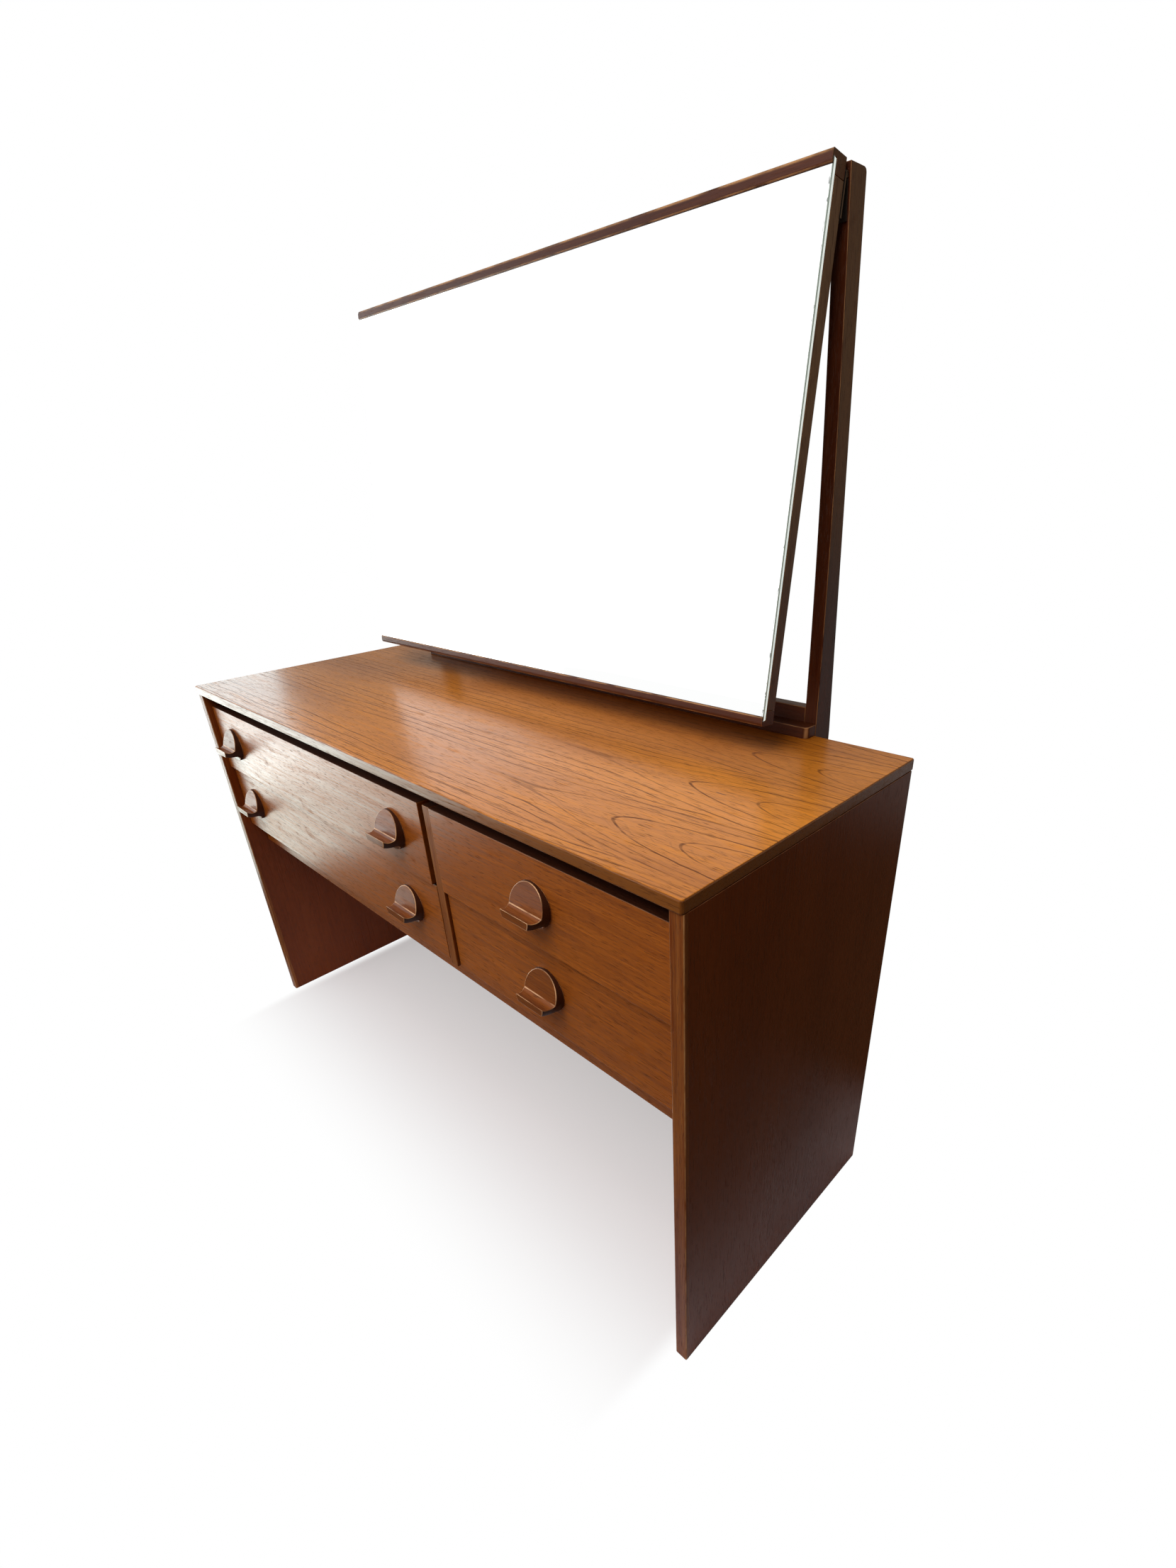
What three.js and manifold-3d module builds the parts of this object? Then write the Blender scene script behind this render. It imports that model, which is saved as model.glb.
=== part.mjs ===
// Dressing table with four drawers and a tilting mirror, in teak.
//
// Units are millimetres. +Z is up, +X is the sitter's right, and -Y faces the sitter.
// The pieces are laid out from the front edge of the top (y = 0) and the floor (z = 0).
// The finished group is then moved back along Y, so that the origin ends up under the
// middle of the whole object.

import * as THREE from "three";
import { mergeVertices } from "three/addons/utils/BufferGeometryUtils.js";
import Module from "manifold-3d";

const wasm = await Module();
wasm.setup();

// ---------------------------------------------------------------- driving dimensions

// Desk
const deskWidth = 1220;
const deskHeight = 717;
const topDepth = 450;
const topThickness = 15.5;
const topCornerRadius = 4;
const panelThickness = 18.5;
const panelFrontSetback = 2.7;
const lippingDepth = 6;
const backThickness = 4.5;
const backSideInset = 10;
const shadowGapHeight = 23.7;

// Rails that tie the two end panels together
const railThickness = 18.5;
const lowerRailHeight = 45.5;
const topRailClearance = 2.7;
const topRailDepth = 45;
const topRailSetback = 45;
const rearTopRailHeight = 45;
const lowerRailClearance = 2;

// Drawers
const dividerThickness = 16.5;
const dividerCentre = 164;
const dividerSetback = 15.4;
const dividerTopDrop = 1;
const upperFrontSetback = 13.4;
const lowerFrontSetback = 19;
const upperHandleLift = 1;
const lowerHandleLift = 3.5;
const frontThickness = 20;
const frontHeight = 124;
const frontGap = 1.5;
const leftDividerGap = 8.5;
const rightDividerGap = 2.25;
const frontRowGap = 3;
const frontCornerRadius = 2.5;
const boxOverhang = 0.5;
const boxBottomLift = 7;
const boxTopDrop = 14;
const boxRearClearance = 22;
const sideThickness = 12;
const drawerBackThickness = 10;
const drawerBackDrop = 5;
const drawerBottomThickness = 4;
const drawerBottomLift = 9;
const drawerBottomGroove = 5;

// Wooden runners, and the grooves in the drawer sides that ride on them
const runnerHeight = 12;
const grooveDepth = 7;
const runnerFrontLine = 70;
const runnerRearClearance = 5.5;
const runningGap = 0.3;
const grooveEndGap = 0.5;

// Handles: a turned cone, scooped out in front to leave a finger lip
const handleBaseRadius = 30;
const handleShoulderEase = 0.5;
const handleShoulderForward = 14;
const handleNoseRadius = 25;
const handleProjection = 31;
const handleTopRim = 4.5;
const handleBottomRim = 5;
const handleCreaseForward = 14.5;
const handleCreaseDrop = 3;
const handleScoopDepth = 6;
const handleLipDrop = 1.5;
const handleLipHeight = 11;
const handleUndercutForward = 16;
const handleUndercutDrop = 15.5;
const handleRollDrop = 1;
const outerHandleInset = 77;
const innerHandleInset = 79.75;
const singleHandleShift = -4;
const spigotRadius = 6;
const spigotEndDepth = 2;

// Mirror stand
const ledgeSideInset = 143;
const ledgeDepth = 22.5;
const ledgeHeight = 16;
const ledgeCornerRadius = 8;
const postThickness = 18.5;
const postBaseDepth = 38;
const postTopDepth = 31.5;
const postTopRise = 587.5;
const postBendRise = 73;
const postFootRise = 49;
const postForwardLean = 22.8;
const postCornerRadius = 6;
const standRailHeight = 65;
const standRailRise = 36.5;
const standRailThickness = 18;

// Mirror, in its own tilted frame
const mirrorSideReveal = 3;
const mirrorFrameDepth = 26;
const mirrorTopRise = 4.9;
const mirrorLedgeClearance = 28.5;
const mirrorTiltDegrees = 7.8;
const glassThickness = 6;
const glassLip = 2.7;
const glassBite = 6;
const topLipHeight = 11.5;
const bottomLipHeight = 12;
const mirrorRailHeight = 18;
const railEdgeChamfer = 2;
const stileWidth = 40;
const backingThickness = 6;

// Friction hinges between the posts and the mirror
const hingeDrop = 12;
const hingeSideInset = 2.25;
const hingeBarrelRadius = 2.8;
const hingeBarrelGap = 0.25;
const hingePinRadius = 1.4;
const hingeLeafThickness = 2;
const hingeLeafHeight = 32;

// Fits
const seatGap = 0.3;
const cutterOverrun = 1;
const weldTolerance = 1e-4;
const roundSteps = 5;
const bowSteps = 12;
const turnedSteps = 48;

// ---------------------------------------------------------------- derived positions

const halfDesk = deskWidth / 2;
const panelInner = halfDesk - panelThickness;
const carcassRear = topDepth - backThickness;
const rearRailFront = carcassRear - railThickness;
const dividerLeft = dividerCentre - dividerThickness / 2;
const dividerRight = dividerCentre + dividerThickness / 2;

const topUnderside = deskHeight - topThickness;
const upperFrontBottom = topUnderside - shadowGapHeight - frontHeight;
const lowerFrontBottom = upperFrontBottom - frontRowGap - frontHeight;
const lowerRailTop = lowerFrontBottom - seatGap;
const railUnderside = lowerRailTop - lowerRailHeight;
const topRailUnderside = topUnderside - shadowGapHeight + topRailClearance;
const lowerRailSetback = lowerFrontSetback + frontThickness + lowerRailClearance;

const boxHeight = frontHeight - boxBottomLift - boxTopDrop;
const boxRearLine = rearRailFront - boxRearClearance;
const runnerRearLine = carcassRear - runnerRearClearance;
const grooveHeight = runnerHeight + 2 * runningGap;
const grooveLift = (boxHeight - grooveHeight) / 2;
const handleShoulderRadius = handleBaseRadius - handleShoulderEase;
const spigotLength = frontThickness - spigotEndDepth;

const standFront = topDepth + seatGap;
const postOuter = halfDesk - ledgeSideInset;
const postInner = postOuter - postThickness;
const postMiddle = postInner + postThickness / 2;
const postBaseRear = standFront + postBaseDepth;
const postTopHeight = deskHeight + postTopRise;
const postBendHeight = deskHeight + postBendRise;
const postFootHeight = railUnderside + postFootRise;
const standRailTopHeight = deskHeight + standRailRise;

const tilt = THREE.MathUtils.degToRad(mirrorTiltDegrees);
const halfMirror = postOuter - mirrorSideReveal;
const mirrorTopHeight = postTopHeight + mirrorTopRise;
const mirrorDrop = mirrorTopHeight - deskHeight - ledgeHeight - mirrorLedgeClearance;
const mirrorFrameHeight = mirrorDrop / Math.cos(tilt);
const hingeWidth = postThickness - 2 * hingeSideInset;
const hingeKnuckleWidth = hingeWidth / 3 - seatGap;
const hingeGap = 2 * (hingeBarrelRadius + hingeBarrelGap);

const frontmost = upperFrontSetback - handleProjection - seatGap;
const originShift = -(frontmost + postBaseRear) / 2;

const banks = [
  {
    side: "left",
    from: -panelInner,
    to: dividerLeft,
    frontFrom: -panelInner + frontGap,
    frontTo: dividerLeft - leftDividerGap,
    handles: 2,
  },
  {
    side: "right",
    from: dividerRight,
    to: panelInner,
    frontFrom: dividerRight + rightDividerGap,
    frontTo: panelInner - frontGap,
    handles: 1,
  },
];
const rows = [
  {
    level: "upper",
    bottom: upperFrontBottom,
    setback: upperFrontSetback,
    handleLift: upperHandleLift,
  },
  {
    level: "lower",
    bottom: lowerFrontBottom,
    setback: lowerFrontSetback,
    handleLift: lowerHandleLift,
  },
];

// ---------------------------------------------------------------- materials

function finish(colour, roughness, metalness = 0) {
  return new THREE.MeshStandardMaterial({ color: colour, roughness, metalness });
}

const teakTop = finish(0xb06a35, 0.3);
const teakFront = finish(0x8a4f2b, 0.4);
const teakDark = finish(0x4f2a18, 0.45);
const teakLipping = finish(0x96603a, 0.45);
const teakHandle = finish(0x7d4a2a, 0.4);
const beech = finish(0xc49a6a, 0.6);
const plywood = finish(0xb48a5c, 0.7);
const silvering = finish(0xe8eef0, 0.03, 1);
const steel = finish(0x8d8c88, 0.35, 1);

// ---------------------------------------------------------------- shape helpers

const object = new THREE.Group();

function piece(name, geometry, material, parent = object) {
  const mesh = new THREE.Mesh(geometry, material);
  mesh.name = name;
  parent.add(mesh);
  return mesh;
}

function block([x0, x1], [y0, y1], [z0, z1]) {
  const geometry = new THREE.BoxGeometry(x1 - x0, y1 - y0, z1 - z0);
  return geometry.translate((x0 + x1) / 2, (y0 + y1) / 2, (z0 + z1) / 2);
}

function outline(points) {
  return new THREE.Shape(points.map(([a, b]) => new THREE.Vector2(a, b)));
}

// A profile drawn in (y, z), extruded along X.
function alongX(shape, x0, x1, curveSegments = roundSteps) {
  const options = { depth: x1 - x0, bevelEnabled: false, curveSegments };
  const turn = new THREE.Matrix4().makeBasis(
    new THREE.Vector3(0, 1, 0),
    new THREE.Vector3(0, 0, 1),
    new THREE.Vector3(1, 0, 0),
  );
  return new THREE.ExtrudeGeometry(shape, options).applyMatrix4(turn).translate(x0, 0, 0);
}

// A profile drawn in (x, z), extruded along Y.
function alongY(shape, y0, y1, curveSegments = roundSteps) {
  const options = { depth: y1 - y0, bevelEnabled: false, curveSegments };
  return new THREE.ExtrudeGeometry(shape, options).rotateX(Math.PI / 2).translate(0, y1, 0);
}

// A profile drawn in (x, y), extruded along Z.
function alongZ(shape, z0, z1) {
  const options = { depth: z1 - z0, bevelEnabled: false, curveSegments: roundSteps };
  return new THREE.ExtrudeGeometry(shape, options).translate(0, 0, z0);
}

function roundedRectangle(a0, a1, b0, b1, radius) {
  const shape = new THREE.Shape();
  shape.moveTo(a0 + radius, b0);
  shape.lineTo(a1 - radius, b0);
  shape.absarc(a1 - radius, b0 + radius, radius, -Math.PI / 2, 0);
  shape.lineTo(a1, b1 - radius);
  shape.absarc(a1 - radius, b1 - radius, radius, 0, Math.PI / 2);
  shape.lineTo(a0 + radius, b1);
  shape.absarc(a0 + radius, b1 - radius, radius, Math.PI / 2, Math.PI);
  shape.lineTo(a0, b0 + radius);
  shape.absarc(a0 + radius, b0 + radius, radius, Math.PI, Math.PI * 1.5);
  return shape;
}

// A solid of revolution about an axis along Y: points are [radius, forward], forward being -Y.
function turned(points, steps = turnedSteps) {
  const profile = points.map(([radius, forward]) => new THREE.Vector2(radius, forward));
  return new THREE.LatheGeometry(profile, steps).rotateZ(Math.PI);
}

function barrel(radius, x0, x1, steps = turnedSteps / 2) {
  const geometry = new THREE.CylinderGeometry(radius, radius, x1 - x0, steps);
  return geometry.rotateZ(Math.PI / 2).translate((x0 + x1) / 2, 0, 0);
}

function toSolid(geometry) {
  const bare = geometry.clone();
  bare.deleteAttribute("normal");
  bare.deleteAttribute("uv");
  const merged = mergeVertices(bare, weldTolerance);
  const mesh = new wasm.Mesh({
    numProp: 3,
    vertProperties: new Float32Array(merged.attributes.position.array),
    triVerts: new Uint32Array(merged.index.array),
  });
  return new wasm.Manifold(mesh);
}

function toGeometry(solid) {
  const mesh = solid.getMesh();
  const geometry = new THREE.BufferGeometry();
  geometry.setAttribute("position", new THREE.BufferAttribute(mesh.vertProperties, 3));
  geometry.setIndex(new THREE.BufferAttribute(mesh.triVerts, 1));
  geometry.computeVertexNormals();
  return geometry;
}

// ---------------------------------------------------------------- desk carcass

function buildTop() {
  const shape = roundedRectangle(-halfDesk, halfDesk, 0, topDepth, topCornerRadius);
  piece("top_panel", alongZ(shape, topUnderside, deskHeight), teakTop);
}

// Each end panel is a board with a solid strip, the lipping, glued to its front edge.
function buildEndPanel(side, from, to) {
  const lippingRear = panelFrontSetback + lippingDepth;
  const height = [0, topUnderside];
  piece(`${side}_end_lipping`, block([from, to], [panelFrontSetback, lippingRear], height), teakLipping);
  piece(`${side}_end_panel`, block([from, to], [lippingRear, carcassRear], height), teakDark);
}

function buildRails() {
  const span = [-panelInner, panelInner];
  const topRail = [topRailSetback, topRailSetback + topRailDepth];
  const lowerRail = [lowerRailSetback, lowerRailSetback + railThickness];
  const rearRail = [rearRailFront, carcassRear];
  const lowerHeight = [railUnderside, lowerRailTop];
  piece("front_top_rail", block(span, topRail, [topRailUnderside, topUnderside]), teakDark);
  piece("front_lower_rail", block(span, lowerRail, lowerHeight), teakDark);
  piece("rear_top_rail", block(span, rearRail, [topUnderside - rearTopRailHeight, topUnderside]), beech);
  piece("rear_lower_rail", block(span, rearRail, lowerHeight), beech);
}

function buildBack() {
  const half = halfDesk - backSideInset;
  const height = [railUnderside, topUnderside];
  piece("back_panel", block([-half, half], [carcassRear, topDepth], height), plywood);
}

// The divider stands on the two lower rails and is notched round the two top rails. Its
// front part ends just below the tops of the drawer fronts, so the shadow gap runs on
// in front of it without a break.
function buildDivider() {
  const rearNotch = topUnderside - rearTopRailHeight;
  const noseTop = topUnderside - shadowGapHeight - dividerTopDrop;
  const profile = outline([
    [dividerSetback, lowerRailTop],
    [carcassRear, lowerRailTop],
    [carcassRear, rearNotch],
    [rearRailFront, rearNotch],
    [rearRailFront, topUnderside],
    [topRailSetback + topRailDepth, topUnderside],
    [topRailSetback + topRailDepth, topRailUnderside],
    [topRailSetback, topRailUnderside],
    [topRailSetback, noseTop],
    [dividerSetback, noseTop],
  ]);
  piece("centre_divider", alongX(profile, dividerLeft, dividerRight), teakLipping);
}

function buildRunners(bank, row) {
  const inA = bank.frontFrom - boxOverhang + grooveDepth - grooveEndGap;
  const inB = bank.frontTo + boxOverhang - grooveDepth + grooveEndGap;
  const bottom = row.bottom + boxBottomLift + grooveLift + runningGap;
  const depth = [runnerFrontLine, runnerRearLine];
  const height = [bottom, bottom + runnerHeight];
  const name = `${row.level}_${bank.side}_runner`;
  piece(`${name}_a`, block([bank.from, inA], depth, height), beech);
  piece(`${name}_b`, block([inB, bank.to], depth, height), beech);
}

// ---------------------------------------------------------------- drawers

// The profile of a handle in (y, z), seen from its side, with its centre at z = 0
// and its back on y = 0. The circle of the turned cone trims what reaches past it.
function handleProfile() {
  const past = handleBaseRadius + cutterOverrun;
  const lipBottom = -handleLipDrop - handleLipHeight;
  const scoopMiddle = (handleCreaseForward + handleProjection) / 2;
  const rollMiddle = (handleUndercutForward + handleProjection) / 2;
  const shape = new THREE.Shape();
  shape.moveTo(0, -past);
  shape.lineTo(0, past);
  shape.lineTo(-handleTopRim, past);
  shape.lineTo(-handleTopRim, handleShoulderRadius);
  shape.lineTo(-handleCreaseForward, -handleCreaseDrop);
  shape.quadraticCurveTo(
    -scoopMiddle, -handleCreaseDrop - handleScoopDepth, -handleProjection, -handleLipDrop,
  );
  shape.lineTo(-handleProjection, lipBottom);
  shape.quadraticCurveTo(
    -rollMiddle, -handleUndercutDrop - handleRollDrop, -handleUndercutForward, -handleUndercutDrop,
  );
  shape.quadraticCurveTo(
    -handleBottomRim, -handleUndercutDrop, -handleBottomRim, -handleShoulderRadius,
  );
  shape.lineTo(-handleBottomRim, -past);
  return shape;
}

// One handle, in its own frame: back face on y = 0, pointing towards -Y.
function handleGeometry() {
  const past = handleBaseRadius + cutterOverrun;
  const cone = toSolid(turned([
    [0, 0],
    [handleBaseRadius, 0],
    [handleShoulderRadius, handleShoulderForward],
    [handleNoseRadius, handleProjection],
    [0, handleProjection],
  ]));
  const body = cone.intersect(toSolid(alongX(handleProfile(), -past, past)));
  const spigot = toSolid(turned([
    [0, -spigotLength],
    [spigotRadius, -spigotLength],
    [spigotRadius, cutterOverrun],
    [0, cutterOverrun],
  ], turnedSteps / 2));
  return toGeometry(body.add(spigot));
}

function handleCentres(from, to, count) {
  if (count === 1) return [(from + to) / 2 + singleHandleShift];
  return [from + outerHandleInset, to - innerHandleInset];
}

// A drawer side, drawn in (x, z). Its outer face, which has the runner groove, is at
// outer. Inward is 1 or -1 and points to the inner face, which has the groove for the
// bottom board.
function drawerSideProfile(outer, inward, bottom) {
  const top = bottom + boxHeight;
  const inner = outer + inward * sideThickness;
  const grooveBottom = bottom + grooveLift;
  const grooveTop = grooveBottom + grooveHeight;
  const slotBottom = bottom + drawerBottomLift - seatGap;
  const slotTop = bottom + drawerBottomLift + drawerBottomThickness + seatGap;
  const slotDepth = drawerBottomGroove + seatGap;
  return outline([
    [outer, bottom],
    [inner, bottom],
    [inner, slotBottom],
    [inner - inward * slotDepth, slotBottom],
    [inner - inward * slotDepth, slotTop],
    [inner, slotTop],
    [inner, top],
    [outer, top],
    [outer, grooveTop],
    [outer + inward * grooveDepth, grooveTop],
    [outer + inward * grooveDepth, grooveBottom],
    [outer, grooveBottom],
  ]);
}

function buildDrawer(bank, row, handleShape) {
  const name = `${row.level}_${bank.side}_drawer`;
  const { frontFrom, frontTo } = bank;
  const frontRear = row.setback + frontThickness;
  const centres = handleCentres(frontFrom, frontTo, bank.handles);
  const handleHeight = row.bottom + frontHeight / 2 + row.handleLift;

  const front = roundedRectangle(
    frontFrom, frontTo, row.bottom, row.bottom + frontHeight, frontCornerRadius,
  );
  for (const x of centres) {
    const hole = new THREE.Path();
    hole.absarc(x, handleHeight, spigotRadius + seatGap, 0, Math.PI * 2, true);
    front.holes.push(hole);
  }
  piece(`${name}_front`, alongY(front, row.setback, frontRear, turnedSteps / 4), teakFront);

  const boxFrom = frontFrom - boxOverhang;
  const boxTo = frontTo + boxOverhang;
  const boxBottom = row.bottom + boxBottomLift;
  const leftSide = drawerSideProfile(boxFrom, 1, boxBottom);
  const rightSide = drawerSideProfile(boxTo, -1, boxBottom);
  piece(`${name}_left_side`, alongY(leftSide, frontRear, boxRearLine), beech);
  piece(`${name}_right_side`, alongY(rightSide, frontRear, boxRearLine), beech);

  const innerFrom = boxFrom + sideThickness;
  const innerTo = boxTo - sideThickness;
  const boardBottom = boxBottom + drawerBottomLift;
  const boardTop = boardBottom + drawerBottomThickness;
  const backHeight = [boardTop + seatGap, boxBottom + boxHeight - drawerBackDrop];
  const backDepth = [boxRearLine - drawerBackThickness, boxRearLine];
  piece(`${name}_back`, block([innerFrom, innerTo], backDepth, backHeight), beech);
  const boardSpan = [innerFrom - drawerBottomGroove, innerTo + drawerBottomGroove];
  const boardDepth = [frontRear + seatGap, boxRearLine];
  piece(`${name}_bottom`, block(boardSpan, boardDepth, [boardBottom, boardTop]), plywood);

  centres.forEach((x, index) => {
    const suffix = bank.handles === 1 ? "" : `_${index + 1}`;
    const handle = piece(`${name}_handle${suffix}`, handleShape, teakHandle);
    handle.position.set(x, row.setback - seatGap, handleHeight);
  });
}

// ---------------------------------------------------------------- mirror stand

function buildLedge() {
  const front = topDepth - ledgeDepth;
  const shape = new THREE.Shape();
  shape.moveTo(-postOuter, topDepth);
  shape.lineTo(-postOuter, front + ledgeCornerRadius);
  shape.absarc(
    -postOuter + ledgeCornerRadius, front + ledgeCornerRadius,
    ledgeCornerRadius, Math.PI, Math.PI * 1.5,
  );
  shape.absarc(
    postOuter - ledgeCornerRadius, front + ledgeCornerRadius,
    ledgeCornerRadius, Math.PI * 1.5, Math.PI * 2,
  );
  shape.lineTo(postOuter, topDepth);
  piece("mirror_ledge", alongZ(shape, deskHeight, deskHeight + ledgeHeight), teakDark);
}

// The front edge of a post is upright at the desk and bows forward above the bend.
function postFrontAt(height) {
  const rise = Math.max(0, height - postBendHeight) / (postTopHeight - postBendHeight);
  return standFront - postForwardLean * rise ** 2;
}

function postSlopeAt(height) {
  const run = postTopHeight - postBendHeight;
  return (2 * postForwardLean * (height - postBendHeight)) / run ** 2;
}

function buildPost(side, from, to) {
  const topRear = postFrontAt(postTopHeight) + postTopDepth;
  const shape = new THREE.Shape();
  shape.moveTo(standFront, postFootHeight);
  shape.lineTo(postBaseRear, postFootHeight);
  shape.lineTo(postBaseRear, deskHeight);
  shape.lineTo(topRear, postTopHeight - postCornerRadius);
  shape.quadraticCurveTo(topRear, postTopHeight, topRear - postCornerRadius, postTopHeight);
  shape.lineTo(postFrontAt(postTopHeight), postTopHeight);
  shape.quadraticCurveTo(
    standFront, (postTopHeight + postBendHeight) / 2, standFront, postBendHeight,
  );
  piece(`${side}_mirror_post`, alongX(shape, from, to, bowSteps), teakDark);
}

function buildStandRail() {
  const height = [standRailTopHeight - standRailHeight, standRailTopHeight];
  const depth = [standFront, standFront + standRailThickness];
  piece("mirror_stand_rail", block([-postInner, postInner], depth, height), teakDark);
}

// ---------------------------------------------------------------- tilting mirror

// The hinge axis runs midway between the back of the mirror and the front of the posts.
const hingeHeight = mirrorTopHeight - hingeDrop * Math.cos(tilt) - mirrorFrameDepth * Math.sin(tilt);
const hingeLine = postFrontAt(hingeHeight) - hingeGap / 2;

// The mirror's own frame has its origin on the hinge axis, local Y running back
// through the frame and local Z up its face.
const mirrorRear = (-hingeGap / 2) * Math.cos(tilt);
const mirrorFront = mirrorRear - mirrorFrameDepth;
const mirrorTop = hingeDrop - (hingeGap / 2) * Math.sin(tilt);
const mirrorBottom = mirrorTop - mirrorFrameHeight;

function hingeGroup(turn) {
  const group = new THREE.Group();
  group.position.set(0, hingeLine, hingeHeight);
  group.rotation.x = turn;
  object.add(group);
  return group;
}

// A rail of the mirror frame, in section: a front lip, a groove that holds the edge of
// the glass, and a deeper part behind it that the stiles butt against. Seen from the
// outer edge inward, so that one profile serves the top and, flipped, the bottom.
function mirrorRailProfile(outerLine, inward, lipHeight) {
  const grooveFront = mirrorFront + glassLip - seatGap;
  const grooveRear = mirrorFront + glassLip + glassThickness + seatGap;
  const grooveEnd = outerLine + inward * (lipHeight - glassBite);
  return outline([
    [mirrorFront, outerLine + inward * railEdgeChamfer],
    [mirrorFront + railEdgeChamfer, outerLine],
    [mirrorRear, outerLine],
    [mirrorRear, outerLine + inward * mirrorRailHeight],
    [grooveRear, outerLine + inward * mirrorRailHeight],
    [grooveRear, grooveEnd],
    [grooveFront, grooveEnd],
    [grooveFront, outerLine + inward * lipHeight],
    [mirrorFront, outerLine + inward * lipHeight],
  ]);
}

function buildMirror() {
  const group = hingeGroup(-tilt);
  const glassFront = mirrorFront + glassLip;
  const glassRear = glassFront + glassThickness;
  const stileFront = glassRear + seatGap;
  const stileInner = halfMirror - stileWidth;
  const glassHeight = [
    mirrorBottom + bottomLipHeight - glassBite + seatGap,
    mirrorTop - topLipHeight + glassBite - seatGap,
  ];
  const stileHeight = [
    mirrorBottom + mirrorRailHeight + seatGap,
    mirrorTop - mirrorRailHeight - seatGap,
  ];
  const backingSpan = [-stileInner + seatGap, stileInner - seatGap];
  const backingDepth = [stileFront, stileFront + backingThickness];

  const topRail = mirrorRailProfile(mirrorTop, -1, topLipHeight);
  const bottomRail = mirrorRailProfile(mirrorBottom, 1, bottomLipHeight);
  const glass = block([-halfMirror, halfMirror], [glassFront, glassRear], glassHeight);
  piece("mirror_top_rail", alongX(topRail, -halfMirror, halfMirror), teakDark, group);
  piece("mirror_bottom_rail", alongX(bottomRail, -halfMirror, halfMirror), teakDark, group);
  piece("mirror_glass", glass, silvering, group);
  piece("mirror_backing_board", block(backingSpan, backingDepth, stileHeight), plywood, group);

  for (const [side, sign] of [["left", -1], ["right", 1]]) {
    const edges = [sign * stileInner, sign * halfMirror].sort((a, b) => a - b);
    const stile = block(edges, [stileFront, mirrorRear], stileHeight);
    piece(`mirror_${side}_stile`, stile, teakDark, group);
    piece(`mirror_${side}_hinge_leaf`, mirrorLeaf(sign), steel, group);
  }
}

// The leaf on the mirror carries the two outer knuckles, bored for the pin.
function mirrorLeaf(sign) {
  const centre = sign * postMiddle;
  const from = centre - hingeWidth / 2;
  const to = centre + hingeWidth / 2;
  const wood = mirrorRear + seatGap;
  const plateTop = -hingeBarrelRadius - seatGap;
  const plate = block([from, to], [wood, wood + hingeLeafThickness], [plateTop - hingeLeafHeight, 0]);
  const middle = block(
    [from + hingeKnuckleWidth, to - hingeKnuckleWidth],
    [wood - cutterOverrun, wood + hingeLeafThickness + cutterOverrun],
    [plateTop, cutterOverrun],
  );
  const boreRadius = hingePinRadius + seatGap;
  const bore = toSolid(barrel(boreRadius, from - cutterOverrun, to + cutterOverrun));
  const knuckles = toSolid(barrel(hingeBarrelRadius, from, from + hingeKnuckleWidth))
    .add(toSolid(barrel(hingeBarrelRadius, to - hingeKnuckleWidth, to)));
  const leaf = toSolid(plate).subtract(toSolid(middle)).add(knuckles).subtract(bore);
  return toGeometry(leaf);
}

// The leaf on the post carries the middle knuckle and the pin.
function buildPostLeaf(side, sign) {
  const centre = sign * postMiddle;
  const from = centre - hingeWidth / 2;
  const to = centre + hingeWidth / 2;
  const knuckleFrom = from + hingeKnuckleWidth + seatGap;
  const knuckleTo = to - hingeKnuckleWidth - seatGap;
  const turn = Math.atan(postSlopeAt(hingeHeight));
  const wood = (hingeGap / 2) * Math.cos(turn) - seatGap;
  const clear = hingeBarrelRadius + 2 * seatGap;
  const plate = toSolid(block(
    [from, to], [wood - hingeLeafThickness, wood], [-clear - hingeLeafHeight, -clear],
  ));
  const web = toSolid(block(
    [knuckleFrom, knuckleTo], [wood - hingeLeafThickness, wood], [-clear - cutterOverrun, 0],
  ));
  const knuckle = toSolid(barrel(hingeBarrelRadius, knuckleFrom, knuckleTo));
  const pin = toSolid(barrel(hingePinRadius, from, to));
  const leaf = plate.add(web).add(knuckle).add(pin);
  piece(`${side}_post_hinge_leaf`, toGeometry(leaf), steel, hingeGroup(turn));
}

// ---------------------------------------------------------------- assembly

buildTop();
buildEndPanel("left", -halfDesk, -panelInner);
buildEndPanel("right", panelInner, halfDesk);
buildRails();
buildBack();
buildDivider();
for (const bank of banks) {
  for (const row of rows) {
    buildRunners(bank, row);
    buildDrawer(bank, row, handleGeometry());
  }
}
buildLedge();
buildPost("left", -postOuter, -postInner);
buildPost("right", postInner, postOuter);
buildStandRail();
buildPostLeaf("left", -1);
buildPostLeaf("right", 1);
buildMirror();

object.position.y = originShift;

export default object;
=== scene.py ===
# %% [markdown]
# # A teak dressing table with a tilting mirror
#
# This is a small lesson in Blender. The joiner's drawing of the table, its sizes and its
# moving parts come in as a fixed frame. The cells below add what the eye sees: eased
# edges, veneers with their grain, carved handles, silvered glass, a floor and light.

# %% Bring in the frame
import math

import bmesh
import bpy
from mathutils import Matrix, Vector
from mathutils.geometry import interpolate_bezier


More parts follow.
